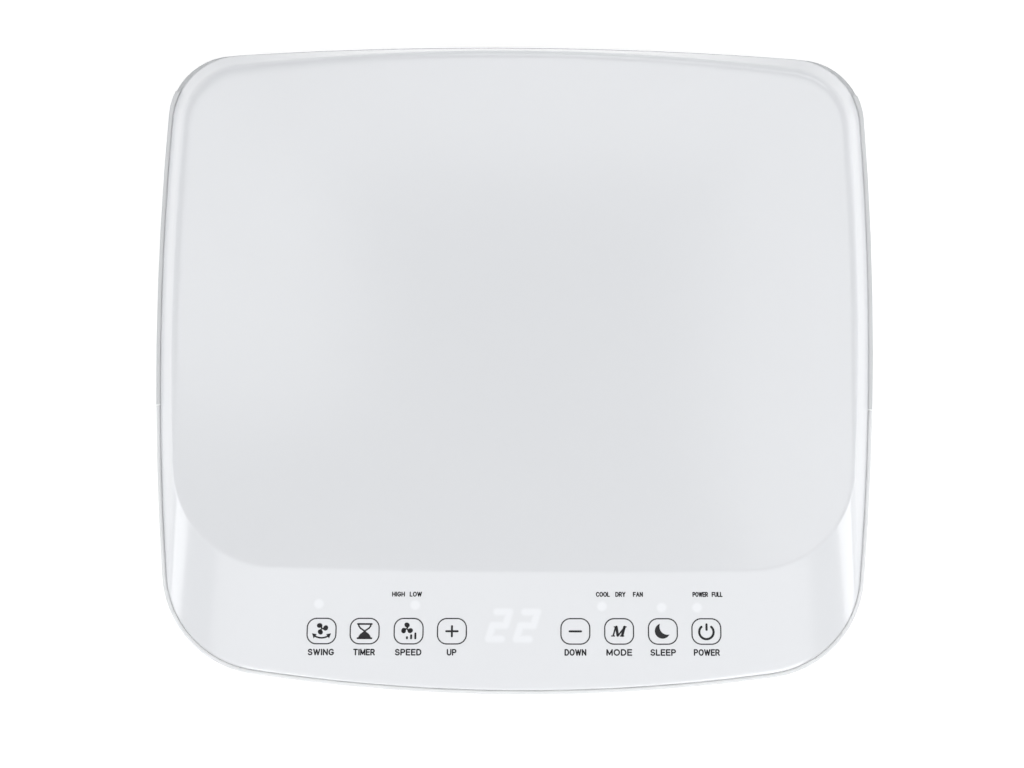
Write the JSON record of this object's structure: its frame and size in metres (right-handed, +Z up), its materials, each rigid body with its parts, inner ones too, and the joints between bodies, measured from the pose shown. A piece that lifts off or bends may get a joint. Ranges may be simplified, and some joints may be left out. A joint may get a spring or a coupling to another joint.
{
  "type": "portable air conditioner",
  "caption": "Upright portable air conditioner with a rounded case, top touch panel, front air outlet, rear exhaust collar and castors.",
  "frame": {"origin": "on the floor under the middle of the case", "axes": "+Z up, +Y towards the rear, so the control panel and the air outlet face -Y, and +X to the right of a user in front"},
  "size_m": [0.32, 0.2889, 0.69],
  "materials": {
    "shell_white": "smooth glossy white moulding",
    "rear_white": "finely textured white moulding",
    "vane_white": "satin white blade",
    "inner_grey": "plain grey inner moulding",
    "wheel_black": "black blower wheel",
    "castor_grey": "dark hood",
    "castor_tyre": "dark hard wheel",
    "zinc": "zinc-plated steel",
    "fins": "closely packed bare fins",
    "copper": "bare copper tube",
    "black_steel": "black painted steel can",
    "rubber": "soft black rubber",
    "filter_mesh": "dark frame and mesh",
    "board_green": "laminate board with parts",
    "spring_steel": "bright spring wire",
    "led_white": "white display blocks",
    "shaft_steel": "ground steel",
    "screw_steel": "plated cross-head screw"
  },
  "bodies": {
    "case": {"front_shell": "shell_white", "rear_shell": "rear_white", "top_cover": "shell_white", "base_pan": "rear_white", "divider_tray": "inner_grey", "handle_left": "rear_white", "handle_right": "rear_white", "housing_screws": "screw_steel", "cord_gland": "rear_white", "lower_grille": "rear_white", "exhaust_collar": "rear_white", "outlet_frame": "rear_white", "swing_motor": "zinc", "evaporator_scroll": "inner_grey", "evaporator_motor": "zinc", "condenser_scroll": "inner_grey", "condenser_motor": "zinc", "evaporator_coil": "fins", "condenser_coil": "fins", "compressor": "black_steel", "compressor_grommets": "rubber", "accumulator": "black_steel", "refrigerant_pipes": "copper", "splash_motor": "zinc", "float_switch": "inner_grey", "display_board": "board_green", "touch_springs": "spring_steel", "display_leds": "led_white", "control_box": "zinc", "control_board": "board_green"},
    "slat_1": {"slat_1": "vane_white"},
    "slat_2": {"slat_2": "vane_white"},
    "slat_3": {"slat_3": "vane_white"},
    "slat_4": {"slat_4": "vane_white"},
    "slat_link": {"slat_link": "inner_grey"},
    "vane_1": {"vane_1": "vane_white"},
    "vane_2": {"vane_2": "vane_white"},
    "vane_3": {"vane_3": "vane_white"},
    "vane_4": {"vane_4": "vane_white"},
    "vane_5": {"vane_5": "vane_white"},
    "vane_link": {"vane_link": "inner_grey"},
    "swing_crank": {"swing_crank": "inner_grey"},
    "evaporator_wheel": {"evaporator_wheel": "wheel_black", "evaporator_shaft": "shaft_steel"},
    "condenser_wheel": {"condenser_wheel": "wheel_black", "condenser_shaft": "shaft_steel"},
    "splash_wheel": {"splash_wheel": "wheel_black"},
    "castor_front_left": {"castor_front_left": "castor_grey"},
    "castor_front_left_wheels": {"castor_front_left_wheels": "castor_tyre"},
    "castor_front_right": {"castor_front_right": "castor_grey"},
    "castor_front_right_wheels": {"castor_front_right_wheels": "castor_tyre"},
    "castor_rear_left": {"castor_rear_left": "castor_grey"},
    "castor_rear_left_wheels": {"castor_rear_left_wheels": "castor_tyre"},
    "castor_rear_right": {"castor_rear_right": "castor_grey"},
    "castor_rear_right_wheels": {"castor_rear_right_wheels": "castor_tyre"},
    "upper_grille": {"upper_grille": "rear_white", "upper_filter": "filter_mesh"},
    "drain_cap": {"drain_cap": "rear_white"},
    "drain_plug": {"drain_plug": "rubber"},
    "float_ring": {"float_ring": "inner_grey"}
  },
  "joints": [
    {"name": "slat_1_tilt", "type": "hinge", "parent": "case", "child": "slat_1", "pos_m": [0, -0.119, 0.574], "axis": [1, 0, 0], "range_deg": [-25, 20]},
    {"name": "slat_2_tilt", "type": "hinge", "parent": "case", "child": "slat_2", "pos_m": [0, -0.119, 0.594], "axis": [1, 0, 0], "range_deg": [-25, 20]},
    {"name": "slat_3_tilt", "type": "hinge", "parent": "case", "child": "slat_3", "pos_m": [0, -0.119, 0.614], "axis": [1, 0, 0], "range_deg": [-25, 20]},
    {"name": "slat_4_tilt", "type": "hinge", "parent": "case", "child": "slat_4", "pos_m": [0, -0.119, 0.634], "axis": [1, 0, 0], "range_deg": [-25, 20]},
    {"name": "slat_link_pivot", "type": "hinge", "parent": "slat_1", "child": "slat_link", "pos_m": [0.06, -0.11195, 0.57656], "axis": [1, 0, 0], "range_deg": [-20, 25]},
    {"name": "vane_1_swing", "type": "hinge", "parent": "case", "child": "vane_1", "pos_m": [-0.088, -0.092, 0.604], "axis": [0, 0, 1], "range_deg": [-30, 30]},
    {"name": "vane_2_swing", "type": "hinge", "parent": "case", "child": "vane_2", "pos_m": [-0.044, -0.092, 0.604], "axis": [0, 0, 1], "range_deg": [-30, 30]},
    {"name": "vane_3_swing", "type": "hinge", "parent": "case", "child": "vane_3", "pos_m": [0, -0.092, 0.604], "axis": [0, 0, 1], "range_deg": [-30, 30]},
    {"name": "vane_4_swing", "type": "hinge", "parent": "case", "child": "vane_4", "pos_m": [0.044, -0.092, 0.604], "axis": [0, 0, 1], "range_deg": [-30, 30]},
    {"name": "vane_5_swing", "type": "hinge", "parent": "case", "child": "vane_5", "pos_m": [0.088, -0.092, 0.604], "axis": [0, 0, 1], "range_deg": [-30, 30]},
    {"name": "vane_link_pivot", "type": "hinge", "parent": "vane_1", "child": "vane_link", "pos_m": [-0.088, -0.082, 0.576], "axis": [0, 0, 1], "range_deg": [-30, 30]},
    {"name": "swing_crank_turn", "type": "hinge", "parent": "case", "child": "swing_crank", "pos_m": [0.104, -0.092, 0.576], "axis": [0, 0, 1], "range_deg": [-30, 30]},
    {"name": "evaporator_wheel_spin", "type": "hinge", "parent": "case", "child": "evaporator_wheel", "pos_m": [0, 0.05, 0.478], "axis": [0, 1, 0], "continuous": true},
    {"name": "condenser_wheel_spin", "type": "hinge", "parent": "case", "child": "condenser_wheel", "pos_m": [0.04, 0.05, 0.15], "axis": [0, 1, 0], "continuous": true},
    {"name": "splash_wheel_spin", "type": "hinge", "parent": "case", "child": "splash_wheel", "pos_m": [-0.044, 0.06, 0.058], "axis": [0, 1, 0], "continuous": true},
    {"name": "castor_front_left_swivel", "type": "hinge", "parent": "case", "child": "castor_front_left", "pos_m": [-0.106, -0.092, 0.05], "axis": [0, 0, 1], "continuous": true},
    {"name": "castor_front_left_roll", "type": "hinge", "parent": "castor_front_left", "child": "castor_front_left_wheels", "pos_m": [-0.106, -0.081, 0.018], "axis": [1, 0, 0], "continuous": true},
    {"name": "castor_front_right_swivel", "type": "hinge", "parent": "case", "child": "castor_front_right", "pos_m": [0.106, -0.092, 0.05], "axis": [0, 0, 1], "continuous": true},
    {"name": "castor_front_right_roll", "type": "hinge", "parent": "castor_front_right", "child": "castor_front_right_wheels", "pos_m": [0.106, -0.081, 0.018], "axis": [1, 0, 0], "continuous": true},
    {"name": "castor_rear_left_swivel", "type": "hinge", "parent": "case", "child": "castor_rear_left", "pos_m": [-0.108, 0.092, 0.05], "axis": [0, 0, 1], "continuous": true},
    {"name": "castor_rear_left_roll", "type": "hinge", "parent": "castor_rear_left", "child": "castor_rear_left_wheels", "pos_m": [-0.108, 0.103, 0.018], "axis": [1, 0, 0], "continuous": true},
    {"name": "castor_rear_right_swivel", "type": "hinge", "parent": "case", "child": "castor_rear_right", "pos_m": [0.108, 0.092, 0.05], "axis": [0, 0, 1], "continuous": true},
    {"name": "castor_rear_right_roll", "type": "hinge", "parent": "castor_rear_right", "child": "castor_rear_right_wheels", "pos_m": [0.108, 0.103, 0.018], "axis": [1, 0, 0], "continuous": true},
    {"name": "upper_grille_pull", "type": "slide", "parent": "case", "child": "upper_grille", "axis": [0, 1, 0], "range_m": [0, 0.06]},
    {"name": "drain_cap_pull", "type": "slide", "parent": "case", "child": "drain_cap", "axis": [0, 1, 0], "range_m": [0, 0.03]},
    {"name": "drain_plug_pull", "type": "slide", "parent": "case", "child": "drain_plug", "axis": [0, 1, 0], "range_m": [0, 0.03]},
    {"name": "float_ring_lift", "type": "slide", "parent": "case", "child": "float_ring", "axis": [0, 0, 1], "range_m": [0, 0.012]}
  ],
  "couplings": [
    {"joint": "slat_2_tilt", "follows": "slat_1_tilt", "ratio": 1},
    {"joint": "slat_3_tilt", "follows": "slat_1_tilt", "ratio": 1},
    {"joint": "slat_4_tilt", "follows": "slat_1_tilt", "ratio": 1},
    {"joint": "slat_link_pivot", "follows": "slat_1_tilt", "ratio": -1},
    {"joint": "vane_2_swing", "follows": "vane_1_swing", "ratio": 1},
    {"joint": "vane_3_swing", "follows": "vane_1_swing", "ratio": 1},
    {"joint": "vane_4_swing", "follows": "vane_1_swing", "ratio": 1},
    {"joint": "vane_5_swing", "follows": "vane_1_swing", "ratio": 1},
    {"joint": "vane_link_pivot", "follows": "vane_1_swing", "ratio": -1},
    {"joint": "swing_crank_turn", "follows": "vane_1_swing", "ratio": 1}
  ]
}
